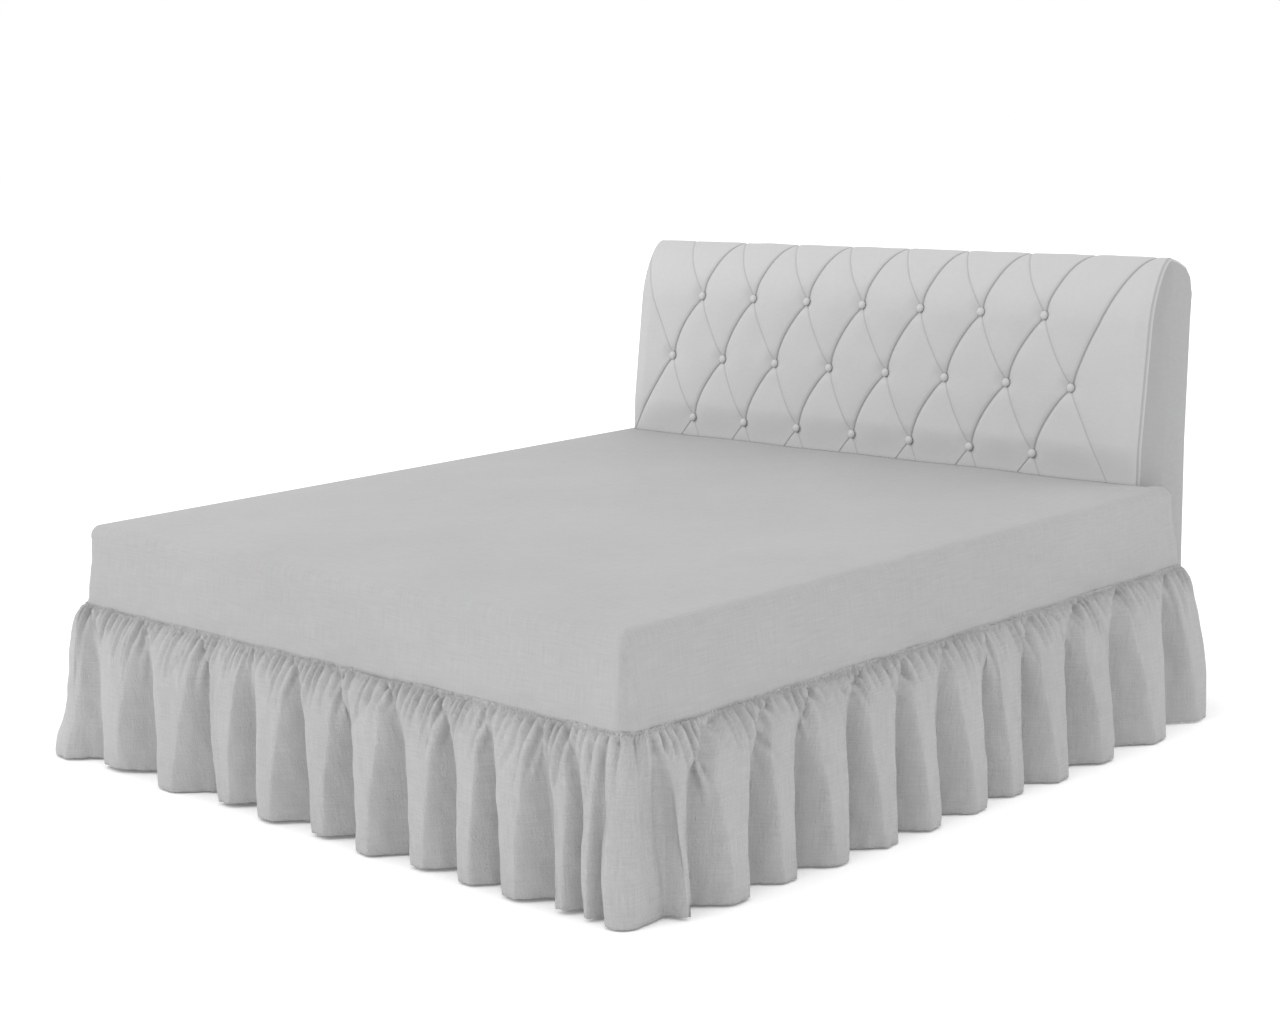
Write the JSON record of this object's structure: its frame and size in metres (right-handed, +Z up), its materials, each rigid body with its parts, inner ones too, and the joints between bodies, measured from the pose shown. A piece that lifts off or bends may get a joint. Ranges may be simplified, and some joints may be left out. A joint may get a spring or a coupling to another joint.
{
  "type": "frilled bed skirt on bed with headboard",
  "caption": "Fitted bed skirt with a gathered floor-length frill on three sides, on a square double bed with a deep-buttoned headboard.",
  "frame": {"origin": "on the floor under the middle of the mattress, on the flat underside of the bed base", "axes": "+Z up, +Y towards the headboard, +X to the right as seen from the foot of the bed"},
  "size_m": [2.304, 2.389, 1.2],
  "materials": {
    "skirt_cloth": "matt plain-woven cotton, light grey, slightly slubbed",
    "frill_cloth": "matt crinkled plain-woven cotton, light grey, gathered",
    "mattress_ticking": "matt woven ticking",
    "base_cover": "matt woven cover",
    "headboard_cover": "smooth satin upholstery, light grey"
  },
  "bodies": {
    "root": {"fitted_top": "skirt_cloth", "frill": "frill_cloth", "mattress": "mattress_ticking", "bed_base": "base_cover", "headboard": "headboard_cover", "button_1_1": "headboard_cover", "button_1_2": "headboard_cover", "button_1_3": "headboard_cover", "button_1_4": "headboard_cover", "button_1_5": "headboard_cover", "button_1_6": "headboard_cover", "button_1_7": "headboard_cover", "button_2_1": "headboard_cover", "button_2_2": "headboard_cover", "button_2_3": "headboard_cover", "button_2_4": "headboard_cover", "button_2_5": "headboard_cover", "button_2_6": "headboard_cover", "button_2_7": "headboard_cover", "button_2_8": "headboard_cover", "button_3_1": "headboard_cover", "button_3_2": "headboard_cover", "button_3_3": "headboard_cover", "button_3_4": "headboard_cover", "button_3_5": "headboard_cover", "button_3_6": "headboard_cover", "button_3_7": "headboard_cover"}
  },
  "joints": []
}
